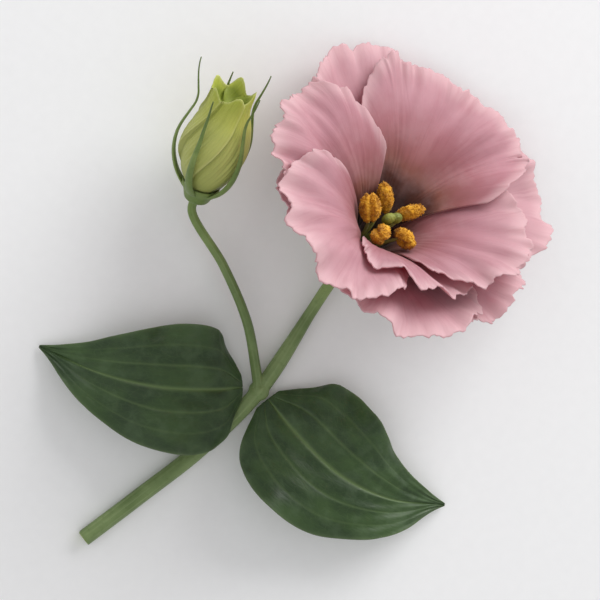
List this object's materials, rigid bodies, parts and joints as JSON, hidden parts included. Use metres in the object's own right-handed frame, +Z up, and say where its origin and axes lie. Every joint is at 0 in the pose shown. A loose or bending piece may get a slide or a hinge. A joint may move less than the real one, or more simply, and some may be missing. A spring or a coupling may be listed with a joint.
{
  "type": "lisianthus flower",
  "caption": "Picked pink lisianthus bloom lying on its side: ruffled petals in two layers, calyx, orange stamens, short stem with a leaf pair and a green side bud",
  "frame": {"origin": "centre of the flower's footprint box, on the surface that it lies on", "axes": "+Z up from the surface, +Y along the stem from its cut end to the bloom, +X sideways to the right of the stem seen from above"},
  "size_m": [0.1038, 0.1272, 0.0503],
  "materials": {
    "petal": "soft satin petal, pale ruffled margin, rose towards the throat",
    "anther": "mealy orange-yellow anther on a pale filament",
    "pistil": "fresh yellow-green, slightly waxy",
    "leaf": "dark blue-green waxy leaf with paler veins",
    "bud": "lime-green rolled petals with darker pleats",
    "green": "smooth waxy green stalk and calyx"
  },
  "bodies": {
    "root": {"petal_outer_1": "petal", "petal_outer_2": "petal", "petal_outer_3": "petal", "petal_outer_4": "petal", "petal_outer_5": "petal", "petal_inner_1": "petal", "petal_inner_2": "petal", "petal_inner_3": "petal", "petal_inner_4": "petal", "petal_inner_5": "petal", "calyx": "green", "stamen_1": "anther", "stamen_2": "anther", "stamen_3": "anther", "stamen_4": "anther", "stamen_5": "anther", "pistil": "pistil", "stem": "green", "leaf_right": "leaf", "leaf_left": "leaf", "bud_calyx": "green", "bud_corolla": "bud"}
  },
  "joints": []
}
